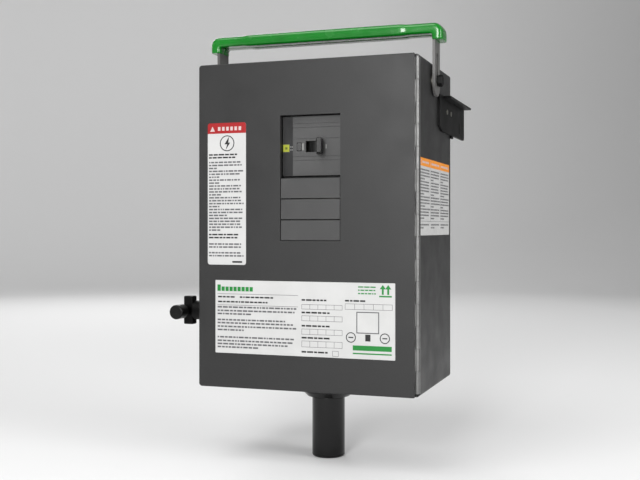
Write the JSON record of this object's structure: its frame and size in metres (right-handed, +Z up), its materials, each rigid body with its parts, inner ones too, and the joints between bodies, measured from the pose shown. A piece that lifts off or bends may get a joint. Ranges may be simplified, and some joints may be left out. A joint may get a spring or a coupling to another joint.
{
  "type": "plug-in power distribution box",
  "caption": "Dark grey plug-in breaker box with a hinged door, breaker window, blank plates, raised green carrying handle, busway hooks and a conduit drop.",
  "frame": {"origin": "the busway datum: on the centre plane, at the rear face of the box, level with the lower edges of the two hooks", "axes": "+Z up; -Y is the front, where the door is; +X is on the right of a person who faces the door"},
  "size_m": [0.3275, 0.283, 0.5458],
  "materials": {
    "enclosure_paint": "satin powder coat",
    "hinge_steel": "satin",
    "zinc_steel": "bright zinc",
    "black_steel": "satin black coat",
    "black_plastic": "fine moulded texture",
    "conduit_black": "gloss black coat",
    "blank_plastic": "satin",
    "breaker_plastic": "fine moulded texture",
    "button_plastic": "satin",
    "badge_yellow": "satin",
    "strap_steel": "satin grey coat",
    "grip_green": "smooth",
    "label_vinyl": "printed vinyl film",
    "copper": "tin flashed",
    "lug_aluminium": "satin",
    "lead_black": "insulation",
    "lead_white": "insulation",
    "lead_green": "insulation"
  },
  "bodies": {
    "root": {"enclosure_wrap": "enclosure_paint", "back_plate": "enclosure_paint", "gutter_frame": "enclosure_paint", "hinge_leaf_body": "hinge_steel", "hinge_pin": "hinge_steel", "pivot_spacers": "zinc_steel", "pivot_bolts": "black_steel", "pivot_nuts": "zinc_steel", "hook_left": "black_steel", "hook_right": "black_steel", "hook_rivets": "zinc_steel", "conduit_hub": "conduit_black", "conduit_nipple": "conduit_black", "conduit_locknut": "zinc_steel", "conduit_bushing": "black_plastic", "breaker_cover": "breaker_plastic", "breaker_base": "breaker_plastic", "toggle_pin": "zinc_steel", "line_lugs": "lug_aluminium", "load_lugs": "lug_aluminium", "lug_screws": "zinc_steel", "breaker_badge": "badge_yellow", "breaker_bracket": "zinc_steel", "bracket_screws": "zinc_steel", "stab_base": "black_plastic", "stab_jaws": "copper", "stab_screws": "zinc_steel", "line_lead_a": "lead_black", "line_lead_b": "lead_black", "line_lead_c": "lead_black", "neutral_lead": "lead_white", "ground_lead": "lead_green", "neutral_bar": "lug_aluminium", "neutral_bar_insulators": "black_plastic", "ground_bar": "lug_aluminium", "ground_bar_feet": "zinc_steel", "bar_screws": "zinc_steel", "latch_boss": "black_steel", "latch_boss_nut": "zinc_steel", "side_label": "label_vinyl"},
    "door": {"front_door": "enclosure_paint", "blank_plate_1": "blank_plastic", "blank_plate_2": "blank_plastic", "blank_plate_3": "blank_plastic", "hinge_leaf_door": "hinge_steel", "danger_label": "label_vinyl", "rating_label": "label_vinyl", "latch_strike": "enclosure_paint"},
    "toggle": {"breaker_toggle": "black_plastic"},
    "trip": {"trip_button": "button_plastic"},
    "handle_pivot": {"slot_bushes": "black_plastic"},
    "handle": {"handle_frame": "strap_steel", "handle_grip": "grip_green"},
    "latch": {"latch_shaft": "zinc_steel", "latch_lever": "black_steel", "latch_knob": "black_plastic", "latch_cam": "zinc_steel", "latch_cam_nut": "zinc_steel"}
  },
  "joints": [
    {"name": "door_swing", "type": "hinge", "parent": "root", "child": "door", "pos_m": [0.1395, -0.182, -0.121], "axis": [0, 0, 1], "range_deg": [0, 110]},
    {"name": "toggle_throw", "type": "hinge", "parent": "root", "child": "toggle", "pos_m": [0.0095, -0.1494, -0.0244], "axis": [0, 0, 1], "range_deg": [-32, 0]},
    {"name": "trip_button_press", "type": "slide", "parent": "root", "child": "trip", "axis": [0, 1, 0], "range_m": [0, 0.0015], "stiffness_N_per_m": 400},
    {"name": "handle_tilt", "type": "hinge", "parent": "root", "child": "handle_pivot", "pos_m": [0, -0.104, 0.0582], "axis": [1, 0, 0], "range_deg": [-10, 10]},
    {"name": "handle_slide", "type": "slide", "parent": "handle_pivot", "child": "handle", "axis": [0, 0, 1], "range_m": [-0.03, 0]},
    {"name": "latch_turn", "type": "hinge", "parent": "root", "child": "latch", "pos_m": [-0.1405, -0.162, -0.228], "axis": [1, 0, 0], "range_deg": [0, 90]}
  ]
}
